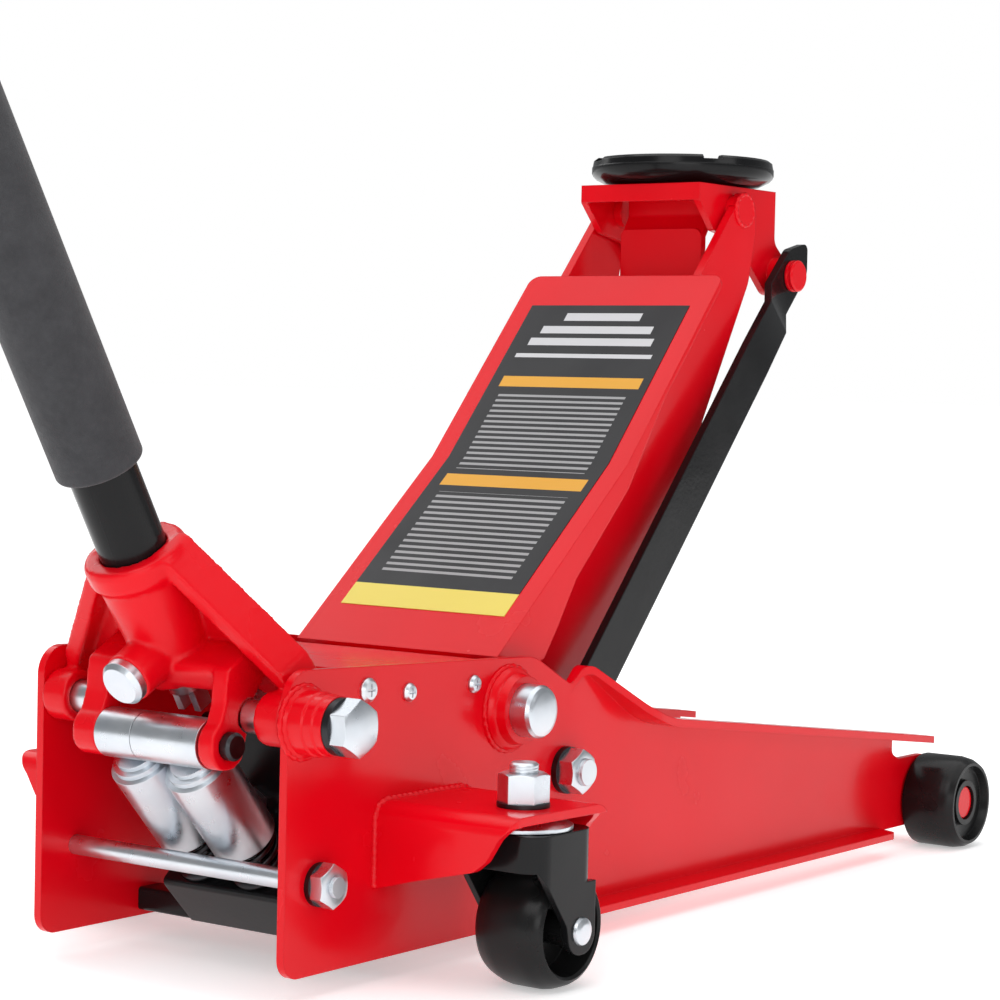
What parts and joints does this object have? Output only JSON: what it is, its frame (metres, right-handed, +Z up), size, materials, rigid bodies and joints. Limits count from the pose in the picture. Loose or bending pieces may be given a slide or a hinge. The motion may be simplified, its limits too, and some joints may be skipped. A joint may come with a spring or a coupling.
{
  "type": "trolley jack",
  "caption": "Low-profile hydraulic trolley jack: channel side frames on rollers and casters, pumped lift arm with a level swivelling saddle and a long sleeved handle.",
  "frame": {"origin": "bottom centre of the whole jack's box at rest, at floor level", "axes": "+X towards the front wheels, +Y to the jack's left, +Z up"},
  "size_m": [1.2228, 0.3442, 1.1304],
  "materials": {
    "red_paint": "glossy",
    "zinc_steel": "bright zinc plated",
    "bright_chrome": "ground and polished",
    "dark_steel": "blackened",
    "black_paint": "glossy",
    "black_plastic": "satin moulded",
    "foam": "matt foam",
    "black_rubber": "matt",
    "label_film": "satin film"
  },
  "bodies": {
    "chassis": {"left_side_plate": "red_paint", "right_side_plate": "red_paint", "left_caster_bracket": "red_paint", "right_caster_bracket": "red_paint", "rear_tie_rod": "zinc_steel", "front_axle": "red_paint", "unit_cover": "red_paint", "cover_screws": "zinc_steel", "arm_shaft": "zinc_steel", "shaft_spacers": "zinc_steel", "plate_bushings": "red_paint", "handle_pivot_bolts": "zinc_steel", "radius_rod_bolts": "zinc_steel", "hex_nuts": "zinc_steel", "lock_washers": "dark_steel", "caster_stems": "zinc_steel", "pump_block": "black_paint", "reservoir": "black_paint", "ram_cylinder": "black_paint", "filler_plug": "black_rubber", "release_valve": "zinc_steel", "pump_springs": "dark_steel"},
    "left_front_wheel_body": {"left_front_wheel": "black_plastic"},
    "right_front_wheel_body": {"right_front_wheel": "black_plastic"},
    "left_fork": {"left_caster_fork": "black_paint", "left_caster_axle": "zinc_steel"},
    "right_fork": {"right_caster_fork": "black_paint", "right_caster_axle": "zinc_steel"},
    "left_rear_wheel": {"left_caster_wheel": "black_plastic"},
    "right_rear_wheel": {"right_caster_wheel": "black_plastic"},
    "yoke": {"handle_yoke": "red_paint", "roller_pin": "dark_steel", "clamp_bolt": "zinc_steel"},
    "rollers": {"pump_rollers": "zinc_steel"},
    "handle": {"lower_handle_tube": "black_paint", "upper_handle_tube": "black_paint", "handle_sleeve": "foam", "handle_grip": "black_rubber", "handle_lock_button": "zinc_steel", "release_coupling": "zinc_steel"},
    "valve_spindle": {"release_shaft": "zinc_steel"},
    "left_plunger": {"left_plunger_cap": "zinc_steel", "left_plunger_rod": "bright_chrome"},
    "right_plunger": {"right_plunger_cap": "zinc_steel", "right_plunger_rod": "bright_chrome"},
    "ram_body": {"ram": "bright_chrome"},
    "lift_arm": {"left_arm_cheek": "red_paint", "right_arm_cheek": "red_paint", "arm_cover": "red_paint", "arm_label": "label_film", "arm_cross_members": "red_paint", "lever_pin": "zinc_steel", "saddle_pivot_pins": "red_paint"},
    "lever_roller": {"ram_roller": "zinc_steel"},
    "bracket": {"saddle_bracket": "red_paint", "radius_rod_pins": "red_paint"},
    "saddle_body": {"saddle": "black_paint", "saddle_retainer": "zinc_steel"},
    "radius_rods": {"left_radius_rod": "black_paint", "right_radius_rod": "black_paint"}
  },
  "joints": [
    {"name": "lift", "type": "hinge", "parent": "chassis", "child": "lift_arm", "pos_m": [0.12188, 0, 0.126], "axis": [0, -1, 0], "range_deg": [-56, 9]},
    {"name": "saddle_level", "type": "hinge", "parent": "lift_arm", "child": "bracket", "pos_m": [0.39488, 0, 0.4], "axis": [0, -1, 0], "range_deg": [-9, 56]},
    {"name": "radius_rod_swing", "type": "hinge", "parent": "chassis", "child": "radius_rods", "pos_m": [0.17348, 0, 0.089], "axis": [0, -1, 0], "range_deg": [-56, 9]},
    {"name": "ram_slide", "type": "slide", "parent": "chassis", "child": "ram_body", "axis": [1, 0, 0], "range_m": [-0.0345, 0.006]},
    {"name": "lever_roller_spin", "type": "hinge", "parent": "lift_arm", "child": "lever_roller", "pos_m": [0.13878, 0, 0.09421], "axis": [0, -1, 0], "continuous": true},
    {"name": "saddle_swivel", "type": "hinge", "parent": "bracket", "child": "saddle_body", "pos_m": [0.40388, 0, 0.4], "axis": [0, 0, 1], "continuous": true},
    {"name": "pump_stroke", "type": "hinge", "parent": "chassis", "child": "yoke", "pos_m": [-0.04112, 0, 0.133], "axis": [0, -1, 0], "range_deg": [-28, 45]},
    {"name": "pump_roller_spin", "type": "hinge", "parent": "yoke", "child": "rollers", "pos_m": [-0.05612, 0, 0.12], "axis": [0, 1, 0], "continuous": true},
    {"name": "left_plunger_slide", "type": "slide", "parent": "chassis", "child": "left_plunger", "axis": [0.673, 0, -0.7396], "range_m": [-0.0095, 0.015]},
    {"name": "right_plunger_slide", "type": "slide", "parent": "chassis", "child": "right_plunger", "axis": [0.673, 0, -0.7396], "range_m": [-0.0095, 0.015]},
    {"name": "handle_twist", "type": "hinge", "parent": "yoke", "child": "handle", "pos_m": [-0.02986, 0, 0.1395], "axis": [-0.5, 0, 0.866], "range_deg": [0, 180]},
    {"name": "release_spindle", "type": "hinge", "parent": "chassis", "child": "valve_spindle", "pos_m": [0.01188, 0, 0.078], "axis": [1, 0, 0], "range_deg": [0, 180]},
    {"name": "left_front_wheel_spin", "type": "hinge", "parent": "chassis", "child": "left_front_wheel_body", "pos_m": [0.58188, 0.1, 0.0295], "axis": [0, 1, 0], "continuous": true},
    {"name": "right_front_wheel_spin", "type": "hinge", "parent": "chassis", "child": "right_front_wheel_body", "pos_m": [0.58188, -0.1, 0.0295], "axis": [0, 1, 0], "continuous": true},
    {"name": "left_caster_swivel", "type": "hinge", "parent": "chassis", "child": "left_fork", "pos_m": [0.05088, 0.144, 0.078], "axis": [0, 0, 1], "continuous": true},
    {"name": "left_caster_roll", "type": "hinge", "parent": "left_fork", "child": "left_rear_wheel", "pos_m": [0.06588, 0.144, 0.0305], "axis": [0, 1, 0], "continuous": true},
    {"name": "right_caster_swivel", "type": "hinge", "parent": "chassis", "child": "right_fork", "pos_m": [0.05088, -0.144, 0.078], "axis": [0, 0, 1], "continuous": true},
    {"name": "right_caster_roll", "type": "hinge", "parent": "right_fork", "child": "right_rear_wheel", "pos_m": [0.06588, -0.144, 0.0305], "axis": [0, 1, 0], "continuous": true}
  ],
  "couplings": [
    {"joint": "saddle_level", "follows": "lift", "ratio": -1},
    {"joint": "radius_rod_swing", "follows": "lift", "ratio": 1},
    {"joint": "ram_slide", "follows": "lift", "m_per_rad": 0.0346},
    {"joint": "left_plunger_slide", "follows": "pump_stroke", "m_per_rad": 0.0185},
    {"joint": "right_plunger_slide", "follows": "pump_stroke", "m_per_rad": 0.0185},
    {"joint": "release_spindle", "follows": "handle_twist", "ratio": 1}
  ]
}
